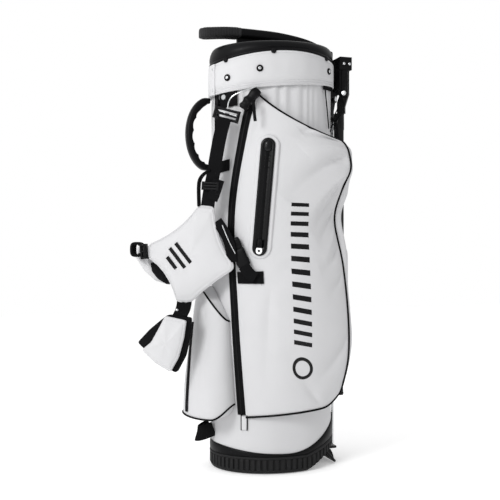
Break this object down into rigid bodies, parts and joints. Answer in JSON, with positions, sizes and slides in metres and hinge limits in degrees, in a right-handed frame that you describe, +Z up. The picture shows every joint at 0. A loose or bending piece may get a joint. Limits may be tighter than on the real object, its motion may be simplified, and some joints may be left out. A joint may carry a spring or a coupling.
{
  "type": "golf bag",
  "caption": "White and black golf stand bag with an oval fabric tube, moulded rim and lift handle, soft pockets, folding legs, boot with a foot pedal, and a padded harness.",
  "frame": {"origin": "on the floor, under the middle of the oval tube, on the boot's flat underside", "axes": "+Z up the tube; +X towards the folding stand; -Y towards the front pocket with the small zipper; -X towards the handle and harness"},
  "size_m": [0.4433, 0.2438, 0.8695],
  "materials": {
    "white_fabric": "matt woven polyester",
    "black_fabric": "woven webbing",
    "lining": "matt",
    "black_plastic": "satin moulded",
    "grip": "ribbed",
    "boot_rubber": "ribbed",
    "white_plastic": "satin",
    "steel": "bright",
    "stay": "satin composite",
    "leg_tube": "satin black"
  },
  "bodies": {
    "bag": {"base_boot": "boot_rubber", "base_collar": "black_plastic", "top_rim": "black_plastic", "club_divider": "black_plastic", "leg_bracket": "black_plastic", "buckle_socket": "black_plastic", "quick_release_buckle": "black_plastic", "valuables_zipper": "black_plastic", "pocket_zipper": "black_plastic", "base_tab": "black_fabric", "spine_webbing": "black_fabric", "handle_webbing": "black_fabric", "strap_anchor": "black_fabric", "pocket_webbing": "black_fabric", "front_panel": "white_fabric", "rear_panel": "white_fabric", "harness_side_panel": "white_fabric", "stand_side_panel": "white_fabric", "top_cuff": "white_fabric", "front_pocket": "white_fabric", "rear_pocket": "white_fabric", "ball_pocket": "white_fabric", "hip_pad": "white_fabric", "divider_webs": "lining", "lift_grip": "grip", "spine_stay": "stay", "front_stay": "stay", "rear_stay": "stay", "front_leg_pin": "steel", "rear_leg_pin": "steel", "front_cuff_screw_1": "steel", "rear_cuff_screw_1": "steel", "front_cuff_screw_2": "steel", "rear_cuff_screw_2": "steel", "front_cuff_screw_3": "steel", "rear_cuff_screw_3": "steel"},
    "grab_handle": {"grab_handle": "black_plastic"},
    "harness": {"strap_buckle": "black_plastic", "strap_webbing": "black_fabric", "ladder_lock": "black_plastic", "back_pad": "white_fabric", "upper_shoulder_pad": "white_fabric", "upper_strap_slider": "black_plastic", "lower_shoulder_pad": "white_fabric", "pad_link": "black_fabric"},
    "valuables_zip": {"valuables_slider": "steel", "valuables_pull": "white_plastic"},
    "buckle_tongue": {"buckle_tongue": "black_plastic"},
    "front_leg": {"front_leg_head": "black_plastic", "front_leg_tube": "leg_tube", "front_leg_foot": "boot_rubber"},
    "rear_leg": {"rear_leg_head": "black_plastic", "rear_leg_tube": "leg_tube", "rear_leg_foot": "boot_rubber"},
    "actuator": {"front_rod": "steel", "rear_rod": "steel", "rod_crosshead": "black_plastic"},
    "pedal": {"foot_pedal": "steel"}
  },
  "joints": [
    {"name": "front_leg_fold", "type": "hinge", "parent": "bag", "child": "front_leg", "pos_m": [0.146, -0.034, 0.745], "axis": [-0.5548, -0.832, 0], "range_deg": [0, 30], "stiffness_Nm_per_rad": 0.3},
    {"name": "rear_leg_fold", "type": "hinge", "parent": "bag", "child": "rear_leg", "pos_m": [0.146, 0.034, 0.745], "axis": [0.5548, -0.832, 0], "range_deg": [0, 30]},
    {"name": "actuator_slide", "type": "slide", "parent": "bag", "child": "actuator", "axis": [0, 0, 1], "range_m": [0, 0.0103]},
    {"name": "pedal_tilt", "type": "hinge", "parent": "bag", "child": "pedal", "pos_m": [0.1, 0, 0.022], "axis": [0, -1, 0], "range_deg": [0, 20]},
    {"name": "harness_swing", "type": "hinge", "parent": "bag", "child": "harness", "pos_m": [-0.11786, -0.07162, 0.7], "axis": [-0.8545, 0.5195, 0], "range_deg": [0, 30]},
    {"name": "grab_handle_turn", "type": "hinge", "parent": "bag", "child": "grab_handle", "pos_m": [-0.131, 0, 0.655], "axis": [0, 0, 1], "range_deg": [-12, 12]},
    {"name": "valuables_zip_slide", "type": "slide", "parent": "bag", "child": "valuables_zip", "axis": [0.0729, -0.036, 0.9967], "range_m": [0, 0.165]},
    {"name": "buckle_release", "type": "slide", "parent": "bag", "child": "buckle_tongue", "axis": [-0.3611, 0.2196, 0.9063], "range_m": [0, 0.03]}
  ],
  "couplings": [
    {"joint": "rear_leg_fold", "follows": "front_leg_fold", "ratio": 1},
    {"joint": "actuator_slide", "follows": "front_leg_fold", "m_per_rad": 0.0196},
    {"joint": "pedal_tilt", "follows": "front_leg_fold", "ratio": 0.6666}
  ]
}
